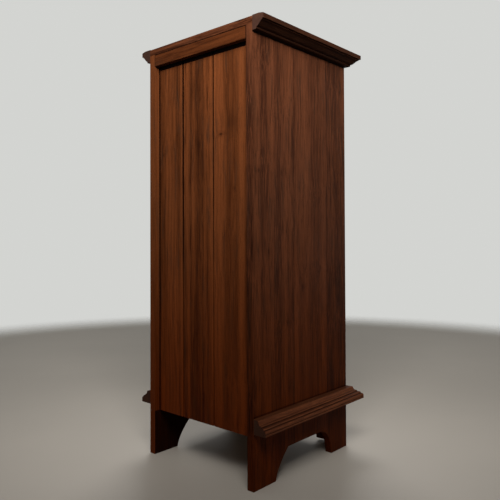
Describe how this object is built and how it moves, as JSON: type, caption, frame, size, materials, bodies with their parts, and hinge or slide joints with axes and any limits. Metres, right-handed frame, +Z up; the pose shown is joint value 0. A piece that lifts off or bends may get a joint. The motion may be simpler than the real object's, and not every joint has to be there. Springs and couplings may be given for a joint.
{
  "type": "semainier",
  "caption": "Tall narrow wooden semainier: equal sliding drawers between solid sides, mitred crown and base mouldings, bracket feet, planked back.",
  "frame": {"origin": "on the floor under the middle of the whole footprint, base moulding included", "axes": "+Z up, +Y towards the back, drawers pull towards -Y, +X to the right of someone facing the drawers"},
  "size_m": [0.4998, 0.4878, 1.2415],
  "materials": {
    "case_wood": "satin varnish over red-brown stain",
    "back_wood": "thin satin varnish over orange-brown wood",
    "moulding_wood": "satin varnish, darker in the quirks",
    "drawer_wood": "satin varnish over red-brown stain",
    "knob_wood": "satin varnish, turned",
    "inner_wood": "bare planed wood"
  },
  "bodies": {
    "case": {"side_panel_left": "case_wood", "side_panel_right": "case_wood", "top_board": "case_wood", "front_apron": "case_wood", "crown_moulding_front": "moulding_wood", "crown_moulding_left": "moulding_wood", "crown_moulding_right": "moulding_wood", "base_moulding_front": "moulding_wood", "base_moulding_left": "moulding_wood", "base_moulding_right": "moulding_wood", "back_top_rail": "back_wood", "back_plank_1": "back_wood", "back_plank_2": "back_wood", "back_plank_3": "back_wood", "glue_block_left": "inner_wood", "glue_block_right": "inner_wood", "top_frame": "inner_wood", "drawer_frame_1": "inner_wood", "drawer_frame_2": "inner_wood", "drawer_frame_3": "inner_wood", "drawer_frame_4": "inner_wood", "drawer_frame_5": "inner_wood", "drawer_frame_6": "inner_wood", "bottom_frame": "inner_wood"},
    "drawer_1": {"drawer_1_front": "drawer_wood", "drawer_1_box": "inner_wood", "drawer_1_bottom": "inner_wood", "drawer_1_knob_left": "knob_wood", "drawer_1_knob_right": "knob_wood"},
    "drawer_2": {"drawer_2_front": "drawer_wood", "drawer_2_box": "inner_wood", "drawer_2_bottom": "inner_wood", "drawer_2_knob_left": "knob_wood", "drawer_2_knob_right": "knob_wood"},
    "drawer_3": {"drawer_3_front": "drawer_wood", "drawer_3_box": "inner_wood", "drawer_3_bottom": "inner_wood", "drawer_3_knob_left": "knob_wood", "drawer_3_knob_right": "knob_wood"},
    "drawer_4": {"drawer_4_front": "drawer_wood", "drawer_4_box": "inner_wood", "drawer_4_bottom": "inner_wood", "drawer_4_knob_left": "knob_wood", "drawer_4_knob_right": "knob_wood"},
    "drawer_5": {"drawer_5_front": "drawer_wood", "drawer_5_box": "inner_wood", "drawer_5_bottom": "inner_wood", "drawer_5_knob_left": "knob_wood", "drawer_5_knob_right": "knob_wood"},
    "drawer_6": {"drawer_6_front": "drawer_wood", "drawer_6_box": "inner_wood", "drawer_6_bottom": "inner_wood", "drawer_6_knob_left": "knob_wood", "drawer_6_knob_right": "knob_wood"},
    "drawer_7": {"drawer_7_front": "drawer_wood", "drawer_7_box": "inner_wood", "drawer_7_bottom": "inner_wood", "drawer_7_knob_left": "knob_wood", "drawer_7_knob_right": "knob_wood"}
  },
  "joints": [
    {"name": "drawer_1_slide", "type": "slide", "parent": "case", "child": "drawer_1", "axis": [0, -1, 0], "range_m": [0, 0.3]},
    {"name": "drawer_2_slide", "type": "slide", "parent": "case", "child": "drawer_2", "axis": [0, -1, 0], "range_m": [0, 0.3]},
    {"name": "drawer_3_slide", "type": "slide", "parent": "case", "child": "drawer_3", "axis": [0, -1, 0], "range_m": [0, 0.3]},
    {"name": "drawer_4_slide", "type": "slide", "parent": "case", "child": "drawer_4", "axis": [0, -1, 0], "range_m": [0, 0.3]},
    {"name": "drawer_5_slide", "type": "slide", "parent": "case", "child": "drawer_5", "axis": [0, -1, 0], "range_m": [0, 0.3]},
    {"name": "drawer_6_slide", "type": "slide", "parent": "case", "child": "drawer_6", "axis": [0, -1, 0], "range_m": [0, 0.3]},
    {"name": "drawer_7_slide", "type": "slide", "parent": "case", "child": "drawer_7", "axis": [0, -1, 0], "range_m": [0, 0.3]}
  ]
}
